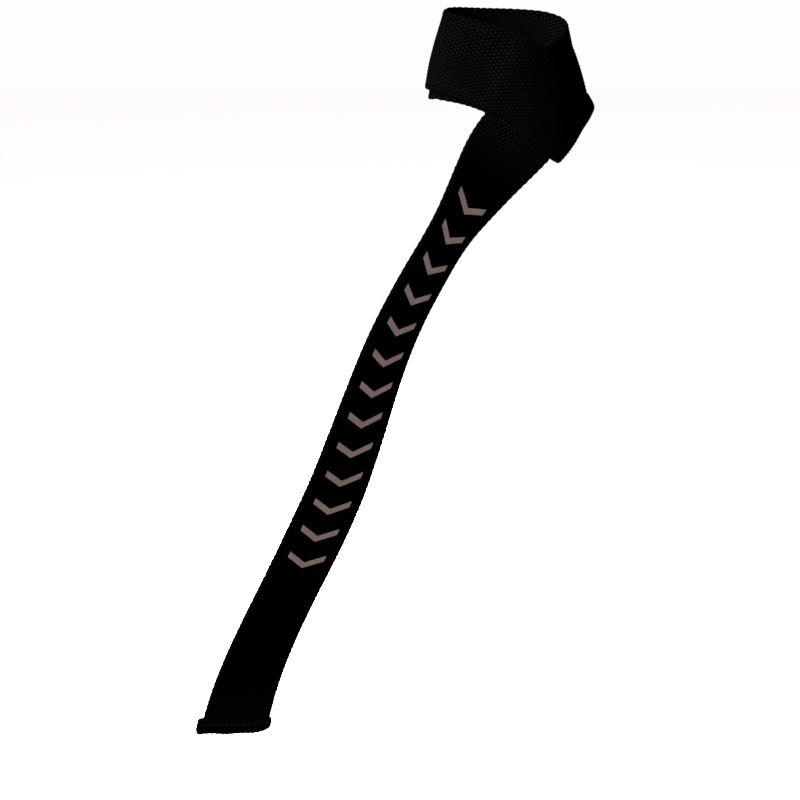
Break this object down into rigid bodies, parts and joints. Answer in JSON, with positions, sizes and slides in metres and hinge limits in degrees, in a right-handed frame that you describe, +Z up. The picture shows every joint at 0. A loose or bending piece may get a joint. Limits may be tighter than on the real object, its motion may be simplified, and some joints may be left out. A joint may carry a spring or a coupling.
{
  "type": "weightlifting strap",
  "caption": "Woven webbing strap closed round a wrist through its own sewn eye, with a long free tail that hangs and twists down to a bound end.",
  "frame": {"origin": "middle of the hollow that the wrist goes through", "axes": "+Z up along the hollow, -Y towards the side where the strap comes out of its eye, +X to the right as seen from that side"},
  "size_m": [0.2142, 0.0923, 0.3916],
  "materials": {
    "webbing": "matte woven",
    "binding": "matte woven tape"
  },
  "bodies": {
    "root": {"webbing": "webbing", "end_binding": "binding"}
  },
  "joints": []
}
